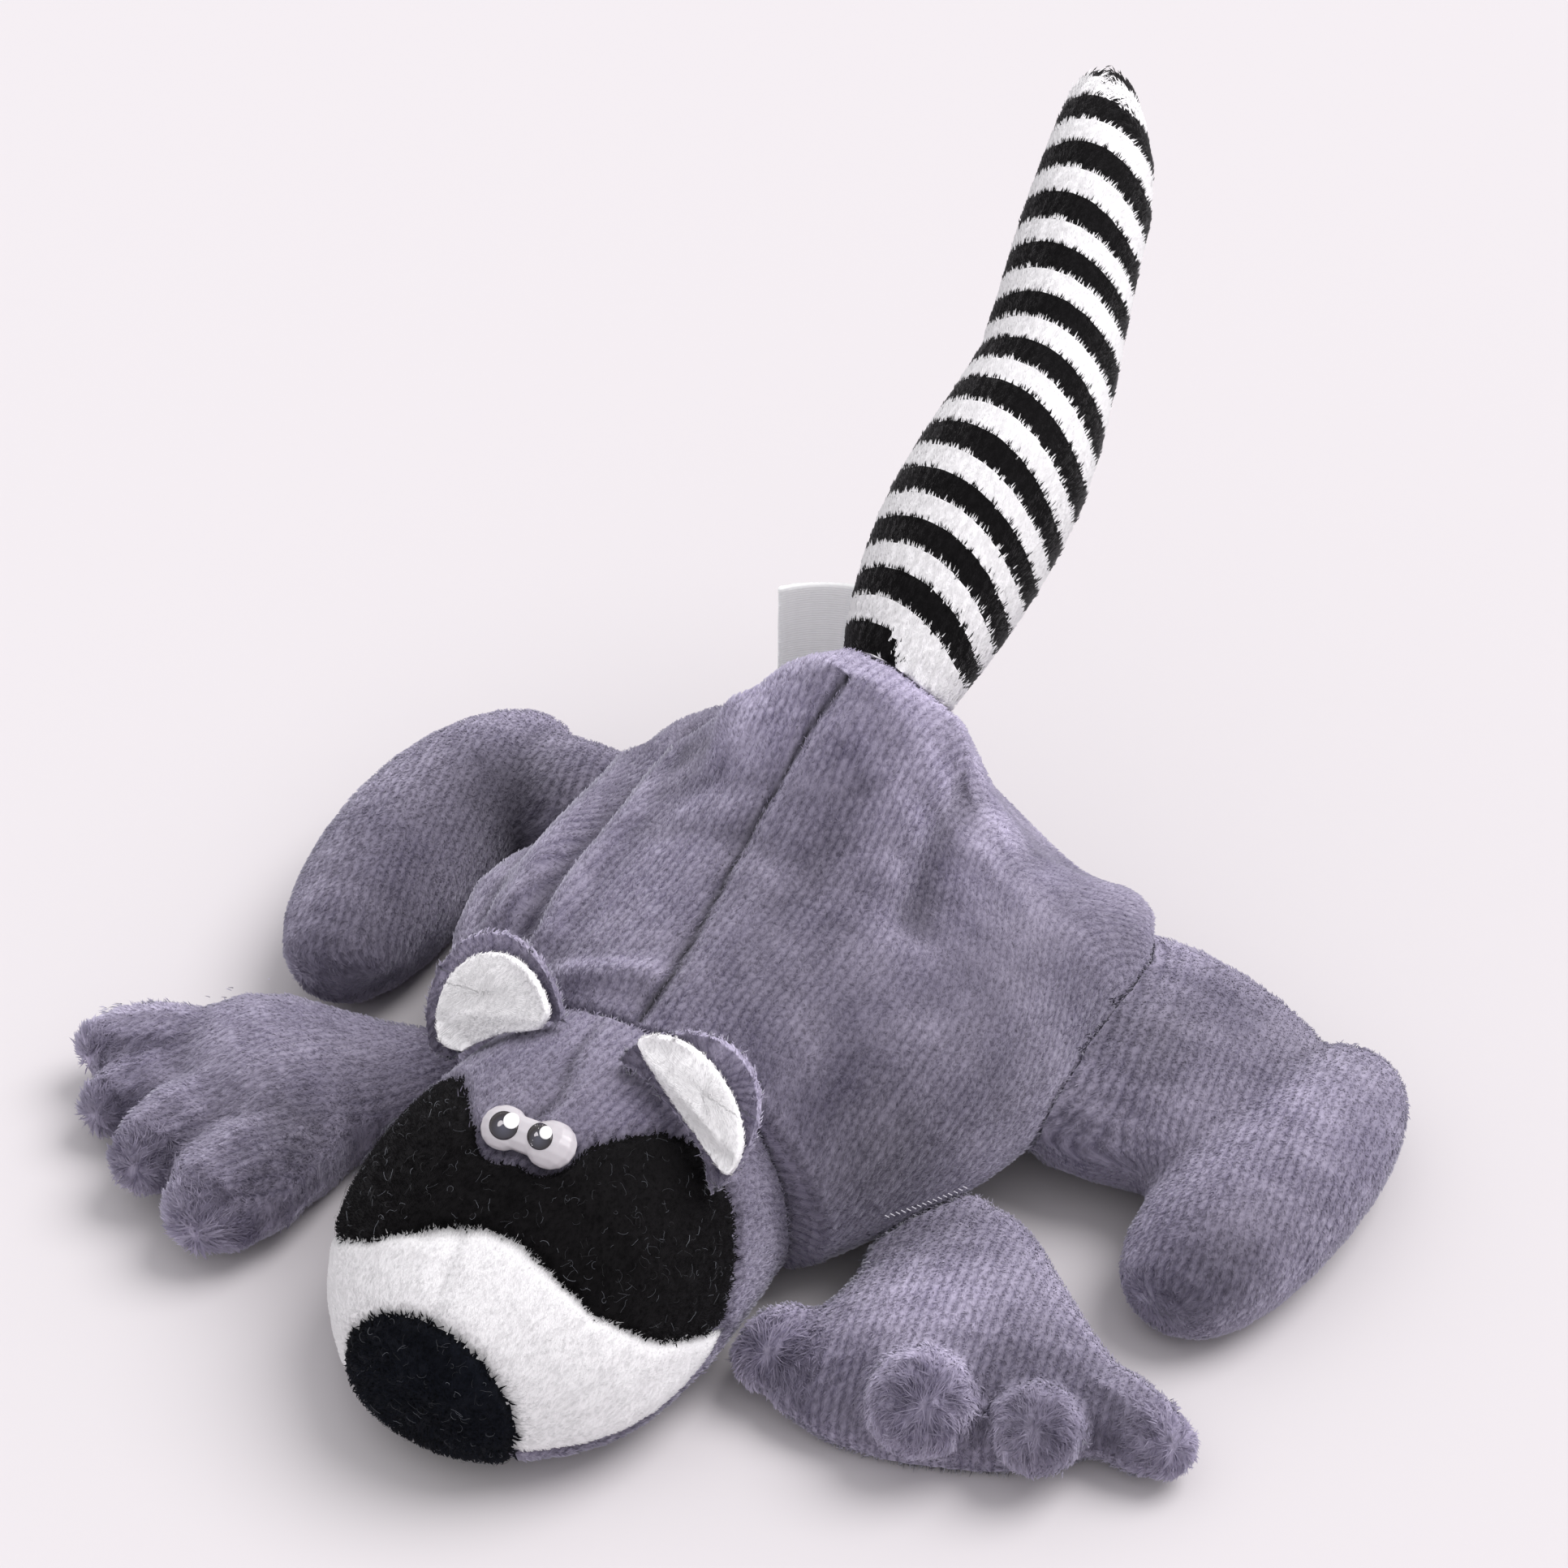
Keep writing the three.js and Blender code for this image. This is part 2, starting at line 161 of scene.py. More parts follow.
def line_through(stops, steps=12):
    """A smooth line through a few stops, as closely spaced points."""
    p = np.array(stops, float)
    p = np.vstack([2 * p[0] - p[1], p, 2 * p[-1] - p[-2]])
    t = np.linspace(0, 1, steps, endpoint=False)[:, None]
    spans = []
    for a, b, c, d in zip(p, p[1:], p[2:], p[3:]):
        bend = (2 * a - 5 * b + 4 * c - d) * t**2 + (3 * b - a - 3 * c + d) * t**3
        spans.append(b + ((c - a) * t + bend) / 2)
    return np.vstack([*spans, p[-2:-1]])


def away_from(co, stops):
    """Each point's distance from the smooth line through these stops."""
    line = line_through(stops)
    best = np.full(len(co), np.inf)
    for a, b in zip(line, line[1:]):
        t = np.clip((co - a) @ (b - a) / max((b - a) @ (b - a), 1e-18), 0, 1)
        best = np.minimum(best, np.linalg.norm(co - a - t[:, None] * (b - a), axis=1))
    return best


def beside(grid):
    """The sum of each cell's four neighbours, on a grid that closes round its second side."""
    tall = np.pad(grid, ((1, 1), (0, 0)), mode="edge")
    return tall[:-2] + tall[2:] + np.roll(grid, 1, 1) + np.roll(grid, -1, 1)


def girth(co, centre, along):
    """Each point's distance round a bag from its top line, and along it. Both are in metres."""
    ahead = unit(np.array(along, float))
    side = unit(np.cross(ahead, (0, 0, 1)))
    up = np.cross(side, ahead)
    place = co - np.array(centre)
    run, across, rise = place @ ahead, place @ side, place @ up
    turn = np.arctan2(across, rise)
    rings, steps = 40, 96
    ring = (run - run.min()) / np.ptp(run) * (rings - 1)
    step = (turn / (2 * np.pi) + 0.5) * steps
    total, weight = np.zeros((rings, steps)), np.zeros((rings, steps))
    cell = np.rint(ring).astype(int), np.floor(step).astype(int) % steps
    np.add.at(total, cell, np.hypot(across, rise))
    np.add.at(weight, cell, 1)
    while not weight.all():
        empty = weight == 0
        total, weight = np.where(empty, beside(total), total), np.where(empty, beside(weight), weight)
    radius = total / weight
    for _ in range(12):
        radius = (2 * radius + beside(radius)) / 6
    spin = 2 * np.pi / steps
    slope = (np.roll(radius, -1, 1) - np.roll(radius, 1, 1)) / (2 * spin)
    arc = np.hypot(radius, slope) * spin
    sums = np.hstack([np.zeros((rings, 1)), np.cumsum(arc, 1)])
    sums -= sums[:, steps // 2][:, None]
    i = np.clip(np.floor(ring).astype(int), 0, rings - 2)
    j = np.clip(np.floor(step).astype(int), 0, steps - 1)
    u, v = ring - i, step - j
    low = sums[i, j] * (1 - v) + sums[i, j + 1] * v
    high = sums[i + 1, j] * (1 - v) + sums[i + 1, j + 1] * v
    return low * (1 - u) + high * u, run


def creased(piece, rounds):
    """How far each point lies sunk in a crease. It is negative on a crest."""
    co = points(piece)
    even = np.stack([blurred(piece, co[:, k], rounds) for k in range(3)], 1)
    return np.einsum("ij,ij->i", even - co, normals(piece))


def keep(piece, name, values):
    """Keeps a value of each vertex on the mesh, for its material."""
    piece.data.attributes.new(name, "FLOAT", "POINT").data.foreach_set("value", values.astype(np.float32))


def value_of(piece, name):
    values = np.empty(len(piece.data.vertices), np.float32)
    piece.data.attributes[name].data.foreach_get("value", values)
    return values.astype(float)


def tone(red, green, blue):
    """A colour as the eye sees it, 0 to 255, in the light values that a shader takes."""
    c = np.array([red, green, blue]) / 255
    return (*np.where(c <= 0.04045, c / 12.92, ((c + 0.055) / 1.055) ** 2.4), 1.0)


def node(tree, kind, settings=None, **inputs):
    """Adds a shader node. Inputs are given by name, or by number as i0, as values or as outputs to link."""
    made = tree.nodes.new(kind)
    for setting, value in (settings or {}).items():
        setattr(made, setting, value)
    for key, value in inputs.items():
        numbered = key[0] == "i" and key[1:].isdigit()
        socket = made.inputs[int(key[1:]) if numbered else key.replace("_", " ")]
        if isinstance(value, bpy.types.NodeSocket):
            tree.links.new(value, socket)
        else:
            socket.default_value = value
    return made


def sockets(group, **kinds):
    """Gives a node group its named inputs (kind) and outputs (kind prefixed with out)."""
    for label, kind in kinds.items():
        way = "OUTPUT" if kind.startswith("out") else "INPUT"
        group.interface.new_socket(label, in_out=way, socket_type="NodeSocket" + kind.removeprefix("out"))
    return group.nodes.new("NodeGroupInput").outputs, group.nodes.new("NodeGroupOutput").inputs


def sums(tree, operation, a, b=0.0, c=None):
    """One step of arithmetic between shader values."""
    made = node(tree, "ShaderNodeMath", {"operation": operation}, i0=a, i1=b)
    if isinstance(c, bpy.types.NodeSocket):
        tree.links.new(c, made.inputs[2])
    elif c is not None:
        made.inputs[2].default_value = c
    return made.outputs[0]


def held(tree, name):
    """A value that the mesh keeps for each of its vertices."""
    return node(tree, "ShaderNodeAttribute", {"attribute_name": name}).outputs["Fac"]


def noise(tree, place, **settings):
    return node(tree, "ShaderNodeTexNoise", Vector=place, **settings).outputs["Fac"]


def eased(tree, value, low, high, first, last):
    """Goes smoothly from first to last while a value goes from low to high."""
    return node(tree, "ShaderNodeMapRange", {"interpolation_type": "SMOOTHSTEP"},
                i0=value, i1=low, i2=high, i3=first, i4=last).outputs[0]


def scaled(tree, color, gain):
    """A colour made darker or paler."""
    return node(tree, "ShaderNodeVectorMath", {"operation": "SCALE"}, i0=color, Scale=gain).outputs[0]


def mixed(tree, share, first, second):
    """A colour between two others."""
    return node(tree, "ShaderNodeMix", {"data_type": "RGBA"}, i0=share, i6=first, i7=second).outputs[2]


def new_finish(name, roughness):
    """A material, its node tree and its shader."""
    material = bpy.data.materials.new(name)
    material.use_nodes = True
    shader = material.node_tree.nodes["Principled BSDF"]
    shader.inputs["Roughness"].default_value = roughness
    return material, material.node_tree, shader


# The brushed face of a knitted cloth. Each rib is a chain of small leaf-shaped stitches that lean one way
# and then the other, with dark dashes in the furrow between two ribs, all blurred by fine fibres. Its colour
# follows the height: painted shade in the furrows and painted light on the crests.
knit = bpy.data.node_groups.new("knit", "ShaderNodeTree")
given, result = sockets(knit, Furrow="Color", Crest="Color", Relief="Float", Mottle="Float", Nap="Float",
                        Color="outColor", Height="outFloat")
rib, course = held(knit, "rib"), held(knit, "course")
place = node(knit, "ShaderNodeTexCoord").outputs["Object"]
on_cloth = node(knit, "ShaderNodeCombineXYZ", X=rib, Y=course).outputs[0]
warp = noise(knit, on_cloth, Scale=0.7, Detail=2.0)
wavy = sums(knit, "MULTIPLY_ADD", warp, 0.5, rib)
row = sums(knit, "FLOOR", wavy)
across = sums(knit, "ABSOLUTE", sums(knit, "SUBTRACT", sums(knit, "FRACT", wavy), 0.5))
ridge = sums(knit, "SUBTRACT", 1.0, sums(knit, "POWER", sums(knit, "MULTIPLY", across, 2.0), 2.0))
lean = sums(knit, "MULTIPLY", sums(knit, "PINGPONG", row, 1.0), 0.5)
stitch = sums(knit, "MULTIPLY_ADD", warp, 1.6, sums(knit, "MULTIPLY_ADD", course, 1.05, lean))
stitch = sums(knit, "MULTIPLY_ADD", across, 0.7, stitch)
stitch = sums(knit, "SINE", sums(knit, "MULTIPLY", stitch, 2 * math.pi))
grain = node(knit, "ShaderNodeVectorMath", {"operation": "MULTIPLY"},
             i0=on_cloth, i1=(7.5, 3.1, 1.0)).outputs[0]
fibre = noise(knit, grain, Scale=1.0, Detail=3.0, Roughness=0.65)
cloud = noise(knit, place, Scale=120.0, Detail=3.0)
clear = eased(knit, noise(knit, place, Scale=55.0, Detail=1.0), 0.3, 0.55, 0.45, 1.0)
relief = sums(knit, "MULTIPLY_ADD", stitch, 0.15, sums(knit, "MULTIPLY_ADD", ridge, 0.72, -0.27))
relief = sums(knit, "MULTIPLY", sums(knit, "MULTIPLY", relief, clear), given["Relief"])
height = sums(knit, "MULTIPLY_ADD", fibre, 0.65, relief)
knit.links.new(height, result["Height"])
# Painted shade in the furrows and painted light on the crests, over a random mottle.
tint = sums(knit, "MULTIPLY_ADD", sums(knit, "SUBTRACT", cloud, 0.5), given["Mottle"], height)
# Painted sheen and shade of the pile: random patches, and the patches kept on the mesh, scaled for each
# cloth.
nap = eased(knit, noise(knit, place, Scale=26.0, Detail=2.0, Roughness=0.6), 0.36, 0.66, 0.84, 1.1)
nap = sums(knit, "ADD", sums(knit, "SUBTRACT", nap, 1.0), held(knit, "nap"))
nap = sums(knit, "MULTIPLY_ADD", nap, given["Nap"], 1.0)
# Painted shade from the seam value: darker in creases and along seams, paler on crests.
shadow = sums(knit, "MULTIPLY", sums(knit, "SUBTRACT", 1.0, held(knit, "seam")), nap)
knit.links.new(scaled(knit, mixed(knit, tint, given["Furrow"], given["Crest"]), shadow), result["Color"])

# A tuft is painted darker at its root, as painted shade deep in the pile, and paler at its tip, as painted
# light, and each differs a little from the next.
tuft_painted_shade = bpy.data.node_groups.new("tuft_painted_shade", "ShaderNodeTree")
given, result = sockets(tuft_painted_shade, Cloth="Color", Root="Float", Tip="Float", Color="outColor")
rise = sums(tuft_painted_shade, "MULTIPLY_ADD", held(tuft_painted_shade, "tip"),
            sums(tuft_painted_shade, "SUBTRACT", given["Tip"], given["Root"]), given["Root"])
gain = sums(tuft_painted_shade, "ADD", rise, held(tuft_painted_shade, "shade"))
tuft_painted_shade.links.new(scaled(tuft_painted_shade, given["Cloth"], gain), result["Color"])


def one_dye(furrow, crest, relief, mottle, nap=0.0):
    """Paints a cloth of one colour, with painted shade in its furrows, and patches of painted sheen and shade
    for the way that its pile lies.
    """
    def paint(tree):
        face = node(tree, "ShaderNodeGroup", {"node_tree": knit},
                    Furrow=furrow, Crest=crest, Relief=relief, Mottle=mottle, Nap=nap)
        return face.outputs["Color"], face.outputs["Height"]
    return paint


def plush(name, paint, sheen, sheen_tint, root=0.8, tip=1.12, straight=1.0, along=1.0):
    """The finish of a plush's cloth, and the finish of the pile on it.

    root and tip scale the colour along each tuft, as painted shade at its root and painted light at its tip.
    straight and along scale it where the plush is seen straight on, and where it is seen at a slant, as
    painted sheen.
    """
    finishes = []
    for part in ("cloth", "pile"):
        material, tree, shader = new_finish(f"{name}_{part}", 0.85)
        shader.inputs["Specular IOR Level"].default_value = 0.15
        shader.inputs["Sheen Weight"].default_value = sheen
        shader.inputs["Sheen Roughness"].default_value = 0.4
        shader.inputs["Sheen Tint"].default_value = sheen_tint
        color, height = paint(tree)
        if part == "pile":
            gain = node(tree, "ShaderNodeGroup", {"node_tree": tuft_painted_shade}, Cloth=color, Root=root, Tip=tip)
            color = gain.outputs["Color"]
        # Painted sheen: the colour is darker where the plush is seen straight on and paler where it is seen
        # at a slant.
        turned = node(tree, "ShaderNodeLayerWeight", Blend=0.5).outputs["Facing"]
        gain = node(tree, "ShaderNodeMapRange", i0=turned, i1=0.0, i2=0.7, i3=straight, i4=along).outputs[0]
        color = scaled(tree, color, gain)
        if part == "cloth":
            bump = node(tree, "ShaderNodeBump", Height=height, Strength=0.9, Distance=0.4 * MM)
            tree.links.new(bump.outputs["Normal"], shader.inputs["Normal"])
        tree.links.new(color, shader.inputs["Base Color"])
        finishes.append(material)
    return finishes


GREY_SHEEN = tone(200, 199, 211)
# The grey's furrow tone carries painted shade and its crest tone painted light. Its pile also gets patches of
# painted sheen and shade, and is painted darker seen straight on and paler at a slant, as painted sheen.
grey = one_dye(tone(91, 85, 106), tone(168, 161, 180), 0.5, 0.9, nap=1.0)
grey_cloth, grey_pile = plush("grey", grey, 0.7, GREY_SHEEN, straight=0.62, along=1.35)


def pile(name, skin, finish, coat, lie, unwrap, seed, kept=("rib", "course", "seam", "nap"), **looks):
    """Tufts rooted all over a skin, that lie along it.

    coat holds the density (tufts for each square millimetre), length, width and height, the sway from
    the lie, the share of a rib that roots stray over (loose) and the variation in tone (varied). With
    loose, roots keep to the ribs and tufts point along them, except where the cloth is free of ribs.
    lie is a direction for each vertex. Of the looks, where keeps the tufts to a part of the skin, longer
    and lifted scale them, paler adds to their tone, and free marks the cloth that is free of ribs. The
    values named in kept are copied from the skin at each tuft's root.
    """
    draw = np.random.default_rng(seed)
    mesh = skin.data
    mesh.calc_loop_triangles()
    corner = np.empty(len(mesh.loop_triangles) * 3, np.int32)
    mesh.loop_triangles.foreach_get("vertices", corner)
    corner = corner.reshape(-1, 3)
    co, out = points(skin), normals(skin)
    a, b, c = (co[corner[:, k]] for k in range(3))
    cross = np.cross(b - a, c - a)
    area = np.linalg.norm(cross, axis=1) / 2
    ones = np.ones(len(co))
    share = area * looks.get("where", ones)[corner].mean(1)
    count = int(coat["density"] * share.sum() / MM**2)
    chosen = draw.choice(len(corner), count, p=share / share.sum())
    u, v = draw.random((2, count))
    fold = u + v > 1
    u[fold], v[fold] = 1 - u[fold], 1 - v[fold]
    mix = np.stack([1 - u - v, u, v], 1)
    tri = corner[chosen]

    def there(field):
        return np.einsum("ij,ij...->i...", mix, field[tri])

    root, n = there(co), unit(there(out))
    moved = {}
    ahead = there(np.broadcast_to(lie, co.shape))
    ahead = unit(ahead - n * np.einsum("ij,ij->i", ahead, n)[:, None])
    if "loose" in coat:
        rib = value_of(skin, "rib")
        flat = unit(cross)[chosen]
        e1, e2 = (b - a)[chosen], (c - a)[chosen]
        d1, d2 = rib[tri[:, 1]] - rib[tri[:, 0]], rib[tri[:, 2]] - rib[tri[:, 0]]
        size = np.einsum("ij,ij->i", e1, np.cross(e2, flat))
        grade = (d1[:, None] * np.cross(e2, flat) + d2[:, None] * np.cross(flat, e1)) / size[:, None]
        steep = np.einsum("ij,ij->i", grade, grade)
        sound = (steep * RIB**2 < 9) & (steep * RIB**2 > 0.04)
        if "free" in looks:
            sound &= ~looks["free"][tri].any(1)
        value = there(rib)
        miss = np.floor(value) + 0.5 - value + draw.normal(0, coat["loose"], count)
        moved["rib"] = value + np.where(sound, miss, 0)
        shift = grade * (miss / np.maximum(steep, 1e-6))[:, None]
        root = root + np.where(sound[:, None], shift, 0)
        row = np.cross(flat, grade)
        row = unit(row * np.sign(np.einsum("ij,ij->i", row, ahead))[:, None])
        ahead = np.where(sound[:, None], row, ahead)
    side = np.cross(n, ahead)
    sway = draw.normal(0, coat["sway"], count)[:, None]
    ahead = unit(ahead * np.cos(sway) + side * np.sin(sway))
    side = np.cross(n, ahead)
    reach = (coat["length"] * draw.uniform(0.7, 1.25, count) * there(looks.get("longer", ones)))[:, None]
    half = (coat["width"] / 2 * draw.uniform(0.7, 1.3, count))[:, None]
    top = (coat["height"] * draw.uniform(0.6, 1.15, count) * there(looks.get("lifted", ones)))[:, None]
    foot = root - n * 0.12 * MM
    ridge = root + ahead * reach * 0.4 + n * top * 0.75
    end = root + ahead * reach + n * top
    verts = np.stack([foot + side * half, foot - side * half, ridge, end], 1)
    faces = np.array([[1, 3, 2], [0, 2, 3], [0, 1, 2], [0, 3, 1]])
    index = (faces[None] + 4 * np.arange(count)[:, None, None]).reshape(-1, 3)
    made = bpy.data.meshes.new(name)
    made.vertices.add(count * 4)
    made.vertices.foreach_set("co", verts.ravel())
    made.loops.add(index.size)
    made.loops.foreach_set("vertex_index", index.ravel())
    made.polygons.add(len(index))
    made.polygons.foreach_set("loop_start", np.arange(len(index)) * 3)
    made.polygons.foreach_set("use_smooth", np.ones(len(index), bool))
    made.update()
    soft = np.empty(count * 12)
    made.vertices.foreach_get("normal", soft)
    soft = unit(soft.reshape(-1, 4, 3) * (1 - SOFTNESS) + n[:, None] * SOFTNESS)
    made.normals_split_custom_set_from_vertices(soft.reshape(-1, 3))
    tufts = bpy.data.objects.new(name, made)
    bpy.context.scene.collection.objects.link(tufts)
    keep(tufts, "tip", np.tile([0.0, 0.0, 0.6, 1.0], count))
    shade = draw.normal(0, coat["varied"], count) + there(looks.get("paler", 0 * ones))
    keep(tufts, "shade", np.repeat(shade, 4))
    for label in kept:
        values = moved[label] if label in moved else there(value_of(skin, label))
        keep(tufts, label, np.repeat(values, 4))
    low, span = unwrap.min(0), np.ptp(unwrap, axis=0)
    flat_place = 0.01 + 0.98 * (unwrap - low) / span
    torn = np.ptp(flat_place[tri], axis=1).max(1) > 0.2
    home = np.where(torn[:, None], flat_place[tri[:, 0]], there(flat_place))
    patch = 0.0015 * np.array([[-1, -1], [1, -1], [0, 0], [0, 1]])
    uv = (home[:, None] + patch[None]).reshape(-1, 2)[index.ravel()]
    made.uv_layers.new(name="OFBake").data.foreach_set("uv", uv.ravel())
    made.materials.append(finish)
    return tufts


body = bag("body_cloth", ["trunk"], BODY_VOXEL, 8, PILE_DEPTH)
BACK_SEAM = [(-0.1, 15.9, 58.2), (-1.2, 11.6, 55.1), (-2.3, 7.6, 51.3), (-4, -0.9, 43.7), (-3, -10.3, 40.2),
             (-1.6, -18.2, 39.2), (-0.7, -25.8, 37.9), (-0.7, -33, 36)]
FOLDS = [
    # stops along the fold, half its width and its height, all in millimetres
    ([(-6, 17, 54), (-10, 14, 50), (-14, 11, 45)], 4.0, 1.6),
    ([(-14, 13.8, 47.3), (-25.4, 16.4, 34.4), (-23.4, -0.3, 35.6), (-22.8, -13.2, 34.7),
      (-20.5, -22.7, 33.6)], 2.8, 1.6),
    ([(-29.3, 24.2, 30.9), (-29, 12, 31.9), (-27.5, -0.8, 33.4), (-26.2, -13, 33.2),
      (-25, -21.1, 31.7)], 3.0, -1.9),
    ([(-38.1, 21.4, 23.4), (-34.4, 6, 28.2), (-30.8, -10, 31.7), (-30.1, -18.4, 29.9)], 2.6, 1.4),
    ([(-40, 8, 22), (-36.5, -7.2, 27), (-34.7, -17, 27)], 2.4, -1.2),
    ([(16.2, 21.2, 41.3), (17.4, 11.9, 40.4), (19, 3, 37)], 4.0, -2.0),
    ([(-13, -28.5, 34.5), (-7.2, -27, 37), (-3, -26, 38)], 2.2, 1.3),
]
co, out = points(body), normals(body)
outside = co + out * PILE_DEPTH
lift = np.zeros(len(co))
for stops, half, height in FOLDS:
    lift += height * MM * np.exp(-((away_from(outside, np.array(stops) * MM) / (half * MM)) ** 2))
seam = away_from(outside, np.array(BACK_SEAM) * MM)
lift -= 0.7 * MM * np.exp(-((seam / (0.7 * MM)) ** 2)) + 0.6 * MM * np.exp(-((seam / (3 * MM)) ** 2))
reshape(body, co + out * lift[:, None])
body.data.materials.append(grey_cloth)
co = points(body)
around, along = girth(co, (-1 * MM, 0, 12 * MM), (0, 1, 0))
unwrap = np.stack([around, along], 1)
around += 0.1 * ramp(np.abs(around), 15 * MM, 45 * MM) * co[:, 1] * np.sign(around)
keep(body, "rib", around / RIB)
keep(body, "course", along / RIB)
# Painted shade in the body's creases and along its back seam, and painted light on its crests, kept as seam.
shaded = np.clip(creased(body, 60) / (1.2 * MM), -0.16, 0.35)
keep(body, "seam", shaded + 0.6 * np.exp(-((seam / (0.42 * MM)) ** 2)))
NAP_SHEEN_PATCHES = [
    # a place on the toy in millimetres, how far round it the patch reaches, and how much paler it is painted,
    # as painted sheen and shade for the way that the pile lies
    (31, -24, 19, 13, -0.65), (38, -5, 20, 9, -0.2), (9, 18, 54, 16, 0.75), (-14, -12, 38, 14, 0.25),
    (19, 26, 34, 12, 0.25), (-50, 10, 16, 12, -0.45), (-52, -14, 12, 8, -0.15), (45, 14, 18, 9, -0.25),
    (66, 18, 17, 12, 0.2), (58, 4, 15, 8, 0.2), (70, -11, 14, 7, -0.25), (43, -34, 14, 9, 0.75),
    (58, -34, 12, 6, -0.15), (30, -46, 10, 8, 0.3), (-60, -46, 14, 14, 0.35), (-39, -54, 15, 7, -0.4),
    (-8, -36, 36, 10, 0.2), (20, -30, 32, 9, 0.15), (-9, 12, 49, 9, 0.9), (17, -36, 42, 9, 0.8),
    (-21, -33, 41, 9, 0.7), (-75, -50, 8, 9, 0.3), (-43, -69, 8, 8, 0.25), (78, -36, 8, 7, 0.35),
    (48, -50, 10, 9, 0.2), (-52, 22, 17, 7, -0.15), (76, 20, 14, 8, 0.15),
]


def painted_nap_sheen(piece):
    """How much paler or darker each vertex is painted, as painted sheen and shade for the way that its pile
    lies.
    """
    co = points(piece)
    total = np.zeros(len(co))
    for x, y, z, reach, gain in NAP_SHEEN_PATCHES:
        far = np.linalg.norm(co - np.array((x, y, z)) * MM, axis=1)
        total += gain * np.exp(-((far / (reach * MM)) ** 2))
    return total


# Patches of painted sheen and shade on the body, for the way that its pile lies.
keep(body, "nap", painted_nap_sheen(body))


def sewn(piece, nodes=()):
    """Fixes a piece to the toy. It stands for its CAD solids."""
    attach(piece, "root")
    if nodes:
        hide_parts(*nodes)


sewn(body, ["trunk"])
seam_x = np.interp(co[:, 1], *zip(*sorted((y * MM, x * MM) for x, y, z in BACK_SEAM)))
near_seam = np.exp(-((seam / (1.2 * MM)) ** 2))
MIDDLE = -6 * MM  # where the coat's fore and rear pieces meet
for half, way in (("left", 1), ("right", -1)):
    for end, ahead in (("fore", -1), ("rear", 1)):
        mine = ((co[:, 0] - seam_x) * way > 0) & ((co[:, 1] - MIDDLE) * ahead > 0)
        tufts = pile(f"body_pile_{half}_{end}", body, grey_pile, GREY_COAT, (0, 1, 0), unwrap,
                     14 + 2 * way + ahead, where=mine.astype(float),
                     lifted=1 - 0.6 * near_seam, longer=1 - 0.4 * near_seam)
        sewn(tufts)

# ---------------------------------------------------------------- head
# The head is a stuffed wedge sewn from four cloths: a grey crown and chin, a black velour mask across the
# brow and cheeks, a white plush muzzle, and a navy velour nose. Each seam sinks a little into the filling.
FACE = {"head": "grey_plush", "mask": "black_plush", "muzzle": "white_plush", "nose": "navy_plush"}
NODE_GAP = 0.3 * MM
head = bag("head_cloth", list(FACE), 1.2 * MM, 6, PILE_DEPTH, swell=0.8 * NODE_GAP)
body_tree = BVHTree.FromObject(body, bpy.context.evaluated_depsgraph_get())


TUCK_REACH, TUCK_GAP = 4 * MM, 0.15 * MM


def tucked(piece):
    """Draws the root of a piece up to the body's cloth, which it is sewn to."""
    co = points(piece)
    for i, p in enumerate(co):
        spot, _, _, far = body_tree.find_nearest(Vector(p), TUCK_REACH)
        if spot is not None and far > TUCK_GAP:
            closer = TUCK_GAP + (far - TUCK_GAP) * (far / TUCK_REACH) ** 2
            co[i] = np.array(spot) + (p - np.array(spot)) * closer / far
    reshape(piece, co)


tucked(head)
co, out = points(head), normals(head)
outside = co + out * PILE_DEPTH


def distance_to(node_name, co):
    """How far each point is from a CAD node's surface."""
    shape = bmesh.new()
    shape.from_mesh(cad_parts[node_name].data)
    tree = BVHTree.FromBMesh(shape)
    shape.free()
    return np.array([tree.find_nearest(Vector(p))[3] for p in co])


gaps = np.stack([blurred(head, distance_to(name, outside), 3) for name in FACE], 1)
order = np.sort(gaps, 1)
panel = gaps.argmin(1)
seam = order[:, 1] - order[:, 0]
FORE_SEAM = [(-4.8, -34, 36.5), (-2.5, -42.9, 38), (0.1, -49.3, 38.4), (-0.4, -54, 38.4)]
NOSE_SEAM = [(-1.6, -69, 31), (-1, -72.3, 28.4), (-0.1, -76, 25)]
fore = away_from(outside, np.array(FORE_SEAM) * MM)
bridge = away_from(outside, np.array(NOSE_SEAM) * MM)
sink = 0.7 * np.exp(-((seam / (0.9 * MM)) ** 2)) + 0.5 * np.exp(-((fore / (1.0 * MM)) ** 2))
sink += 0.35 * np.exp(-((bridge / (0.9 * MM)) ** 2))
reshape(head, co - out * (sink * MM)[:, None])
co = points(head)
around, along = girth(co, (0, 0, 12 * MM), (0, 1, 0))
unwrap = np.stack([around, along], 1)
keep(head, "rib", around / RIB)
keep(head, "course", along / RIB)
# Painted shade along the head's seams, kept as seam; the patches after it are painted sheen and shade.
keep(head, "seam", 0.5 * np.exp(-((seam / (0.5 * MM)) ** 2)) + 0.5 * np.exp(-((fore / (0.8 * MM)) ** 2)))
keep(head, "nap", painted_nap_sheen(head))
BLACK_SHEEN, WHITE_SHEEN = tone(110, 108, 115), tone(250, 246, 250)
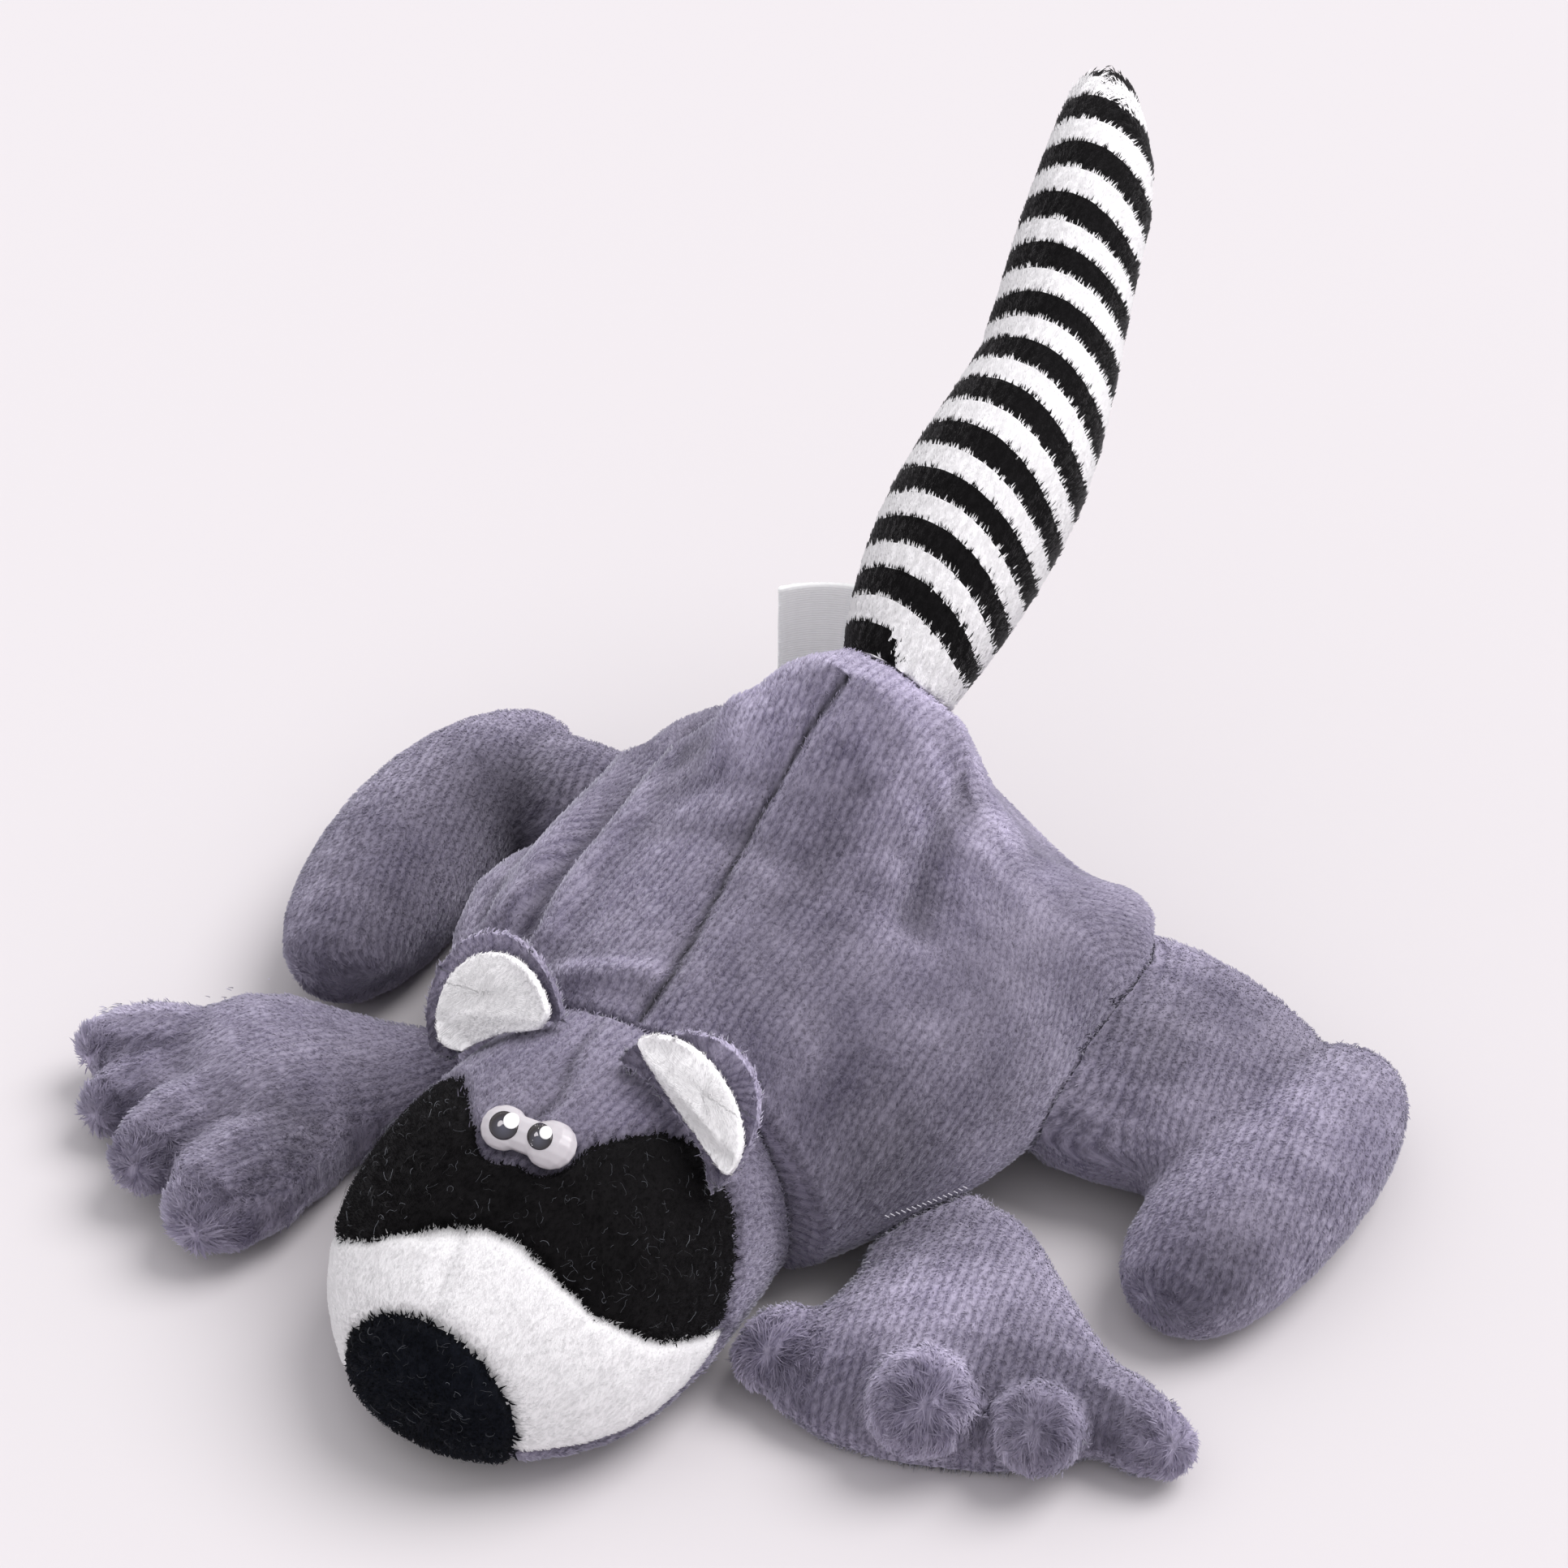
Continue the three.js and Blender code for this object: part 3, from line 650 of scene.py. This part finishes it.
# As on the grey, each cloth is painted darker in its furrows and paler on its crests, as painted shade and
# light, as far as its relief goes.
black = one_dye(tone(5, 4, 5), tone(19, 16, 19), 0.0, 0.5)
white = one_dye(tone(244, 241, 244), tone(255, 254, 255), 0.15, 0.2)
navy = one_dye(tone(5, 6, 11), tone(22, 26, 38), 0.0, 0.9)
black_cloth, black_pile = plush("black", black, 0.12, BLACK_SHEEN)
white_cloth, white_pile = plush("white", white, 0.3, WHITE_SHEEN, root=1.0, tip=1.02)
navy_cloth, navy_pile = plush("navy", navy, 0.12, BLACK_SHEEN)
for finish in (grey_cloth, black_cloth, white_cloth, navy_cloth):
    head.data.materials.append(finish)
loops = np.empty(len(head.data.loops), np.int32)
head.data.loops.foreach_get("vertex_index", loops)
middle = gaps[loops.reshape(-1, 4)].mean(1).argmin(1)
head.data.polygons.foreach_set("material_index", middle.astype(np.int32))
sewn(head, list(FACE))

BLACK_COAT = {"density": 7.0, "length": 0.45 * MM, "width": 0.16 * MM, "height": 0.42 * MM, "sway": 1.4,
              "varied": 0.2}
WHITE_COAT = {"density": 9.0, "length": 0.55 * MM, "width": 0.16 * MM, "height": 0.17 * MM, "sway": 0.4,
              "varied": 0.02}
NAVY_COAT = {"density": 7.0, "length": 0.7 * MM, "width": 0.22 * MM, "height": 0.6 * MM, "sway": 1.6,
             "varied": 0.25}
edge = np.exp(-((seam / (1.1 * MM)) ** 2))
coats = {"head": (grey_pile, GREY_COAT), "mask": (black_pile, BLACK_COAT), "muzzle": (white_pile, WHITE_COAT),
         "nose": (navy_pile, NAVY_COAT)}
for k, (name, (finish, coat)) in enumerate(coats.items()):
    tufts = pile(f"{name}_pile", head, finish, coat, (0, 1, 0), unwrap, 21 + k,
                 where=(panel == k).astype(float), lifted=1 + 0.4 * edge, longer=1 + 0.3 * edge)
    sewn(tufts)

# Lint: pale threads caught in the dark velour, each a short loose curl.
lint_finish, tree, shader = new_finish("lint", 0.6)
dust = mixed(tree, held(tree, "shade"), tone(34, 34, 38), tone(122, 125, 134))
tree.links.new(dust, shader.inputs["Base Color"])


def lint(name, skin, where, count, seed):
    """Curled threads, thinner than the pile, that lie on a skin where it has this value."""
    draw = np.random.default_rng(seed)
    home = draw.choice(len(where), count, p=where / where.sum())
    root, n = points(skin)[home], normals(skin)[home]
    flat = unit(np.cross(n, draw.normal(size=(count, 3))))
    side = np.cross(n, flat)
    rings = 7
    t = np.linspace(0, 1, rings)
    length = draw.uniform(0.5, 1.9, count)[:, None] * MM
    curl = draw.uniform(1.2, 5.5, count) * draw.choice((-1, 1), count)
    turn = curl[:, None] * (t + draw.uniform(0, 0.4, count)[:, None] * np.sin(5 * t))
    step = length / (rings - 1)
    x, y = np.cumsum(np.cos(turn) * step, 1), np.cumsum(np.sin(turn) * step, 1)
    z = 0.5 * MM + draw.uniform(0, 0.35, count)[:, None] * MM * np.sin(math.pi * t)
    line = root[:, None] + flat[:, None] * x[..., None] + side[:, None] * y[..., None]
    line = line + n[:, None] * z[..., None]
    ahead = flat[:, None] * np.cos(turn)[..., None] + side[:, None] * np.sin(turn)[..., None]
    cross = np.cross(n[:, None], ahead)
    thin = 0.017 * MM * draw.uniform(0.7, 1.3, count)[:, None, None]
    spokes = [n[:, None] * math.cos(a) + cross * math.sin(a) for a in (0, 2.1, 4.2)]
    verts = np.stack([line + spoke * thin for spoke in spokes], 2).reshape(-1, 3)
    quads = [[3 * i + a, 3 * i + b, 3 * i + 3 + b, 3 * i + 3 + a] for i in range(rings - 1)
             for a, b in ((0, 1), (1, 2), (2, 0))]
    ends = [[2, 1, 0], [3 * rings - 3, 3 * rings - 2, 3 * rings - 1]]
    faces = [[q + 3 * rings * i for q in face] for i in range(count) for face in quads + ends]
    mesh = bpy.data.meshes.new(name)
    mesh.from_pydata(verts, [], faces)
    piece = bpy.data.objects.new(name, mesh)
    bpy.context.scene.collection.objects.link(piece)
    keep(piece, "shade", np.repeat(draw.random(count) ** 2, 3 * rings))
    mesh.materials.append(lint_finish)
    return piece


for name, count, k in (("mask_lint", 420, 1), ("nose_lint", 150, 3)):
    inside = ((panel == k) & (seam > 0.6 * MM)).astype(float)
    sewn(lint(name, head, inside, count, 31 + k))

# ---------------------------------------------------------------- eyes
# Both eyes are one glossy peanut of moulded white plastic, pressed on to the brow. Each pupil is printed
# on it as a dark egg, and a round white spot lies on each pupil.
eyes = bag("eyes_plastic", ["eyes"], 0.3 * MM, 24, 0.0)
co = points(eyes) + normals(eyes) * (np.clip(creased(eyes, 120), 0, 1 * MM) - 0.1 * MM)[:, None]
reshape(eyes, co)
milk, tree, shader = new_finish("milky_plastic", 0.22)
shader.inputs["Subsurface Weight"].default_value = 0.3
shader.inputs["Subsurface Radius"].default_value = (0.9, 0.7, 0.7)
shader.inputs["Subsurface Scale"].default_value = 1.0 * MM
place = node(tree, "ShaderNodeTexCoord").outputs["Object"]
haze = noise(tree, place, Scale=300.0, Detail=1.0)
tree.links.new(mixed(tree, haze, tone(180, 174, 180), tone(200, 195, 200)), shader.inputs["Base Color"])
eyes.data.materials.append(milk)
sewn(eyes, ["eyes"])


TOWARD = Vector((0.4, -0.65, 0.64)).normalized()  # the way that both pupils look
DISC_THICKNESS = 0.03 * MM


def round_on_eyes(name, colours, place, wide, tall, above):
    """A thin round laid on the eyes. Its place, size and height above them are in millimetres."""
    bpy.ops.mesh.primitive_circle_add(vertices=32, radius=1, fill_type="NOTHING")
    disc = bpy.context.active_object
    disc.name = name
    bpy.ops.object.mode_set(mode="EDIT")
    bpy.ops.mesh.select_all(action="SELECT")
    for size in (0.75, 0.5, 0.25):
        bpy.ops.mesh.extrude_edges_move()
        bpy.ops.transform.resize(value=[size / min(1, size + 0.25)] * 3)
    bpy.ops.mesh.merge(type="CENTER")
    bpy.ops.object.mode_set(mode="OBJECT")
    turn = TOWARD.to_track_quat("Z", "Y").to_matrix()
    tree = BVHTree.FromObject(eyes, bpy.context.evaluated_depsgraph_get())
    for v in disc.data.vertices:
        at = Vector(place) * MM + turn @ Vector((v.co.x * wide * MM, v.co.y * tall * MM, 0))
        hit, n = tree.ray_cast(at + TOWARD * 8 * MM, -TOWARD)[:2]
        v.co = hit + n * above * MM
    disc.data.update()
    finished(disc, "SOLIDIFY", thickness=DISC_THICKNESS, offset=-1)
    for face in disc.data.polygons:
        face.use_smooth = True
    material, tree, shader = new_finish(name, 0.18)
    here = node(tree, "ShaderNodeTexCoord").outputs["Object"]
    offset = node(tree, "ShaderNodeVectorMath", {"operation": "DISTANCE"}, i0=here,
                  i1=Vector(place) * MM - Vector((0, 0, 0.4)) * MM).outputs["Value"]
    fall = node(tree, "ShaderNodeMapRange", i0=offset, i1=0.0, i2=wide * MM, i3=1.0, i4=0.0).outputs[0]
    tree.links.new(mixed(tree, fall, *colours), shader.inputs["Base Color"])
    disc.data.materials.append(material)
    sewn(disc)


# Each pupil is dark at its rim and bluish grey in its middle; each glint is a round white spot.
PUPIL, GLINT = (tone(34, 27, 30), tone(74, 74, 88)), (tone(246, 244, 247), tone(250, 249, 250))
round_on_eyes("pupil_right", PUPIL, (-1.6, -58.5, 39.5), 1.75, 1.65, 0.03)
round_on_eyes("pupil_left", PUPIL, (3.3, -58.1, 39.9), 1.55, 1.5, 0.03)
round_on_eyes("glint_right", GLINT, (-1.1, -57.6, 39.8), 0.95, 0.9, 0.07)
round_on_eyes("glint_left", GLINT, (3.7, -57.4, 40.2), 0.75, 0.72, 0.07)

# ---------------------------------------------------------------- ears
# Each ear is a half-round flap of grey plush over a thin pad, cupped forward, with a smooth white plush
# lining on its front. Both are sewn into the seam across the crown.
EAR_COAT = {**GREY_COAT, "density": 5.5, "length": 0.8 * MM, "height": 0.42 * MM}
del EAR_COAT["loose"]
for k, side in enumerate(("left", "right")):
    for part, depth, cloth, pile_finish, coat, slot in (
        ("", 0.6 * MM, grey_cloth, grey_pile, EAR_COAT, "grey_plush"),
        ("_lining", 0.3 * MM, white_cloth, white_pile, WHITE_COAT, "white_plush"),
    ):
        solid = f"ear_{side}{part}"
        flap = bag(f"{solid}_cloth", [solid], 0.6 * MM, 5, depth)
        flap.data.materials.append(cloth)
        around, along = girth(points(flap), points(flap).mean(0), (0.7 if side == "left" else -0.7, 0, 0.7))
        keep(flap, "rib", around / RIB)
        keep(flap, "course", along / RIB)
        # Painted shade in the ear's creases and painted light on its crests, kept as seam; the patches after
        # it are painted sheen and shade.
        keep(flap, "seam", np.clip(creased(flap, 20) / (1.5 * MM), -0.15, 0.3))
        keep(flap, "nap", painted_nap_sheen(flap))
        sewn(flap, [solid])
        unwrap = np.stack([around, along], 1)
        sewn(pile(f"{solid}_pile", flap, pile_finish, coat, (0, 0.4, 1), unwrap, 41 + k))

# ---------------------------------------------------------------- legs
# Four flat stuffed bags, sewn on at the shoulders and hips. The paws end in stubby toes, where the top and
# the sole meet in a seam that makes the pile stand out in clumps.
LEGS = {
    # a point on the middle line, the way that the ribs and the pile run, and how tightly it is filled
    "front_leg_left": ((48, -32, 6), (0.25, -0.97, 0), 0.7),
    "front_leg_right": ((-48, -42, 6), (-0.55, -0.83, 0), 0.7),
    "hind_leg_left": ((60, 12, 7), (0.2, -0.98, 0), 0.7),
    "hind_leg_right": ((-58, 8, 8), (0.3, -0.95, 0), 0.75),
}
TOE_POLES = {
    # the point that each toe's pile spreads out from, and how far it reaches
    "front_leg_left": [(29, -49.3, 9.4, 6), (51.5, -50, 13.5, 7.5), (63.5, -45, 12, 6),
                       (77.5, -35.5, 8.5, 6)],
    "front_leg_right": [(-75, -51.5, 7, 6), (-68, -58, 6, 5), (-55.5, -65.5, 9, 7), (-43, -69, 7, 8)],
    "hind_leg_left": [(63, -17, 8, 5)],
    "hind_leg_right": [(-60, -25, 8, 5)],
}
for k, (leg, (centre, ahead, fill)) in enumerate(LEGS.items()):
    flat = leg.startswith("front")
    voxel, rounds, plume = (1.0 * MM, 4, 1.0) if flat else (1.3 * MM, 6, 0.4)
    limb = bag(f"{leg}_cloth", [leg], voxel, rounds, PILE_DEPTH)
    tucked(limb)
    limb.data.materials.append(grey_cloth)
    filled = np.clip(1.4 * creased(limb, 40), 0, 2.2 * MM)
    reshape(limb, points(limb) + normals(limb) * blurred(limb, filled, 6)[:, None])
    co, out = points(limb), normals(limb)
    around, along = girth(co, np.array(centre) * MM, ahead)
    unwrap = np.stack([around, along], 1)
    if flat:
        around = (co - np.array(centre) * MM) @ unit(np.cross(ahead, (0, 0, 1)))
    keep(limb, "rib", around / RIB)
    keep(limb, "course", along / RIB)
    # Painted shade in the leg's creases and between its toes, and painted light on its crests, kept as seam;
    # the patches after it are painted sheen and shade.
    keep(limb, "seam", np.clip(creased(limb, 40) / (1.2 * MM), -0.16, 0.3))
    keep(limb, "nap", painted_nap_sheen(limb))
    lie, plumed = np.tile(unit(np.array(ahead, float)), (len(co), 1)), np.zeros(len(co))
    for x, y, z, reach in TOE_POLES[leg]:
        away = co - np.array((x, y, z)) * MM
        near = np.exp(-((np.linalg.norm(away, axis=1) / (reach * MM)) ** 2))
        spread = unit(away - out * np.einsum("ij,ij->i", away, out)[:, None])
        lie = lie * (1 - near[:, None]) + spread * near[:, None]
        plumed = np.maximum(plumed, near * plume)
    sewn(limb, [leg])
    tufts = pile(f"{leg}_pile", limb, grey_pile, GREY_COAT, lie, unwrap, 51 + k,
                 longer=1 + 1.6 * plumed, lifted=1 + 2.0 * plumed, paler=0.25 * plumed, free=plumed > 0.25)
    sewn(tufts)

# ---------------------------------------------------------------- tail
# A slim stuffed tube of striped plush, closed by a seam at its tip and sewn to the hump. The knitted bands
# slant round it, and the pile lies toward the tip, so each band ends in short spikes over the next.
BAND = 7.23 * MM  # one black stripe and one white
FIRST_BAND = 76.7 * MM
BLACK_SHARE = 0.53
TAIL_RIB = 1.5 * MM
tail = bag("tail_cloth", ["tail"], 1.2 * MM, 6, PILE_DEPTH)
tucked(tail)
co = points(tail)
TAIL_LINE = [(0.8, 30, 52), (0.8, 35, 55), (0.5, 45.5, 61.3), (0.8, 56, 68), (0, 66, 74), (-3, 77, 81),
             (-6.5, 90, 89), (-12.5, 103, 97)]
line = line_through(np.array(TAIL_LINE) * MM)
steps = np.linalg.norm(np.diff(line, axis=0), axis=1)
run = np.concatenate([[0], np.cumsum(steps)])
nearest = np.array([np.argmin(((line - p) ** 2).sum(1)) for p in co])
heading = unit(np.gradient(line, axis=0))
length_along = run[nearest] + np.einsum("ij,ij->i", co - line[nearest], heading[nearest])
SIDE = np.array([0.848, 0.53, 0])
slant = (co - line[nearest]) @ SIDE
bow = 0.3 * slant + 0.028 * slant**2 / MM
drawn = 0.13 * np.maximum(length_along - 62 * MM, 0)  # the cloth is drawn out longer toward the tip
band = (length_along + bow - drawn - FIRST_BAND) / BAND + 0.27
around, along = girth(co, (0, 62 * MM, 71.5 * MM), (-0.03, 0.84, 0.54))
unwrap = np.stack([around, along], 1)
keep(tail, "rib", around / TAIL_RIB)
keep(tail, "course", along / TAIL_RIB)
keep(tail, "seam", np.zeros(len(co)))
# At its root the last black stripe is caught in the seam, all but a corner on its right side.
caught = (band < -10.35) & (slant > -2 * MM)
keep(tail, "band", np.where(caught, -10.3, band))


def two_bands(tree):
    """Paints the striped cloth: black over half of each band, and white over the rest."""
    pale, height = white(tree)
    mask = sums(tree, "LESS_THAN", sums(tree, "FRACT", held(tree, "band")), BLACK_SHARE)
    return mixed(tree, mask, pale, black(tree)[0]), height


ring_cloth, ring_pile = plush("ringed", two_bands, 0.2, WHITE_SHEEN, root=1.0, tip=1.02)
tail.data.materials.append(ring_cloth)
sewn(tail, ["tail"])
TAIL_COAT = {"density": 9.0, "length": 0.8 * MM, "width": 0.2 * MM, "height": 0.28 * MM, "sway": 0.2,
             "loose": 0.26, "varied": 0.02}
tufts = pile("tail_pile", tail, ring_pile, TAIL_COAT, heading[nearest], unwrap, 61,
             kept=("rib", "course", "seam", "band"))
sewn(tufts)

# ---------------------------------------------------------------- label
# A plain white woven tape, caught in the rump seam behind the tail.
label = bag("label_tape", ["label"], 0.5 * MM, 2, 0.0)
tape, tree, shader = new_finish("woven_tape", 0.6)
shader.inputs["Subsurface Weight"].default_value = 0.6
shader.inputs["Subsurface Radius"].default_value = (3.0, 3.0, 3.0)
shader.inputs["Subsurface Scale"].default_value = 1.0 * MM
place = node(tree, "ShaderNodeTexCoord").outputs["Object"]
weave = node(tree, "ShaderNodeTexWave", {"bands_direction": "Z"}, Vector=place, Scale=900.0,
             Distortion=0.6).outputs["Fac"]
tree.links.new(mixed(tree, weave, tone(246, 244, 246), tone(255, 254, 255)), shader.inputs["Base Color"])
bump = node(tree, "ShaderNodeBump", Height=weave, Strength=0.4, Distance=0.1 * MM)
tree.links.new(bump.outputs["Normal"], shader.inputs["Normal"])
label.data.materials.append(tape)
sewn(label, ["label"])

# ---------------------------------------------------------------- hand stitches
# The filling hole under the left shoulder is closed by hand with a ladder of white thread.
thread, tree, shader = new_finish("white_thread", 0.5)
place = node(tree, "ShaderNodeTexCoord").outputs["Object"]
twist = noise(tree, place, Scale=2500.0)
tree.links.new(mixed(tree, twist, tone(190, 186, 196), tone(236, 234, 240)), shader.inputs["Base Color"])
LADDER = [(31.4, -25.6, 13.4), (34, -20, 12.7), (36.5, -14.3, 12.1)]
rungs = []
ladder = line_through(np.array(LADDER) * MM, 8)
for a, b in zip(ladder, ladder[1:]):
    spot, n, _, _ = body_tree.find_nearest(Vector((a + b) / 2))
    ahead = Vector(b - a).normalized()
    lean = (ahead - n.cross(ahead) * 0.9).normalized()
    bpy.ops.object.select_all(action="DESELECT")
    bpy.ops.mesh.primitive_cylinder_add(vertices=8, radius=0.07 * MM, depth=0.9 * MM,
                                        location=spot + n * 0.75 * MM,
                                        rotation=lean.to_track_quat("Z", "Y").to_euler())
    rung = bpy.context.active_object
    finished(rung, "BEVEL", width=0.045 * MM, segments=2)
    rungs.append(rung)
bpy.ops.object.select_all(action="DESELECT")
for rung in rungs:
    rung.select_set(True)
bpy.context.view_layer.objects.active = rungs[0]
bpy.ops.object.join()
bpy.ops.object.transform_apply(location=True, rotation=True, scale=True)
rungs[0].name = "ladder_stitches"
rungs[0].data.materials.append(thread)
sewn(rungs[0])

# ---------------------------------------------------------------- stage
# A plain pale floor in a white tent: soft light from all round, and a wide pale key from above on the
# right. The camera looks down on the toy from above its left cheek.
AZIMUTH, ELEVATION = math.radians(32), math.radians(40)
VIEW_CENTRE = (0.645 * MM, 39.14 * MM)
DISTANCE = 560 * MM
VIEW_WIDTH = 207.74 * MM
right = Vector((math.cos(AZIMUTH), math.sin(AZIMUTH), 0))
back = Vector((math.sin(AZIMUTH) * math.cos(ELEVATION), -math.cos(AZIMUTH) * math.cos(ELEVATION),
               math.sin(ELEVATION)))
up = back.cross(right)
camera = bpy.data.objects.new("camera", bpy.data.cameras.new("camera"))
bpy.context.scene.collection.objects.link(camera)
camera.data.sensor_width = 36
camera.data.lens = 36 * DISTANCE / VIEW_WIDTH
camera.data.clip_start, camera.data.clip_end = 10 * MM, 10
camera.location = right * VIEW_CENTRE[0] + up * VIEW_CENTRE[1] + back * DISTANCE
camera.rotation_euler = back.to_track_quat("Z", "Y").to_euler()
bpy.context.scene.camera = camera

bpy.ops.mesh.primitive_plane_add(size=4, location=(0, 0, 0))
floor = bpy.context.active_object
floor.name = "floor"
paper, tree, shader = new_finish("floor_paper", 0.9)
shader.inputs["Base Color"].default_value = tone(205, 200, 203)
floor.data.materials.append(paper)

key = bpy.data.objects.new("key_light", bpy.data.lights.new("key_light", "SUN"))
bpy.context.scene.collection.objects.link(key)
key.data.energy = 2.2
key.data.angle = math.radians(40)
key.data.color = (1, 0.99, 0.99)
key.rotation_euler = Vector((0.35, 0.42, 0.84)).to_track_quat("Z", "Y").to_euler()
world = bpy.data.worlds.new("white_tent")
bpy.context.scene.world = world
world.use_nodes = True
world.node_tree.nodes["Background"].inputs["Color"].default_value = (0.97, 0.97, 0.985, 1)
world.node_tree.nodes["Background"].inputs["Strength"].default_value = 0.93
bpy.context.scene.view_settings.view_transform = "Standard"
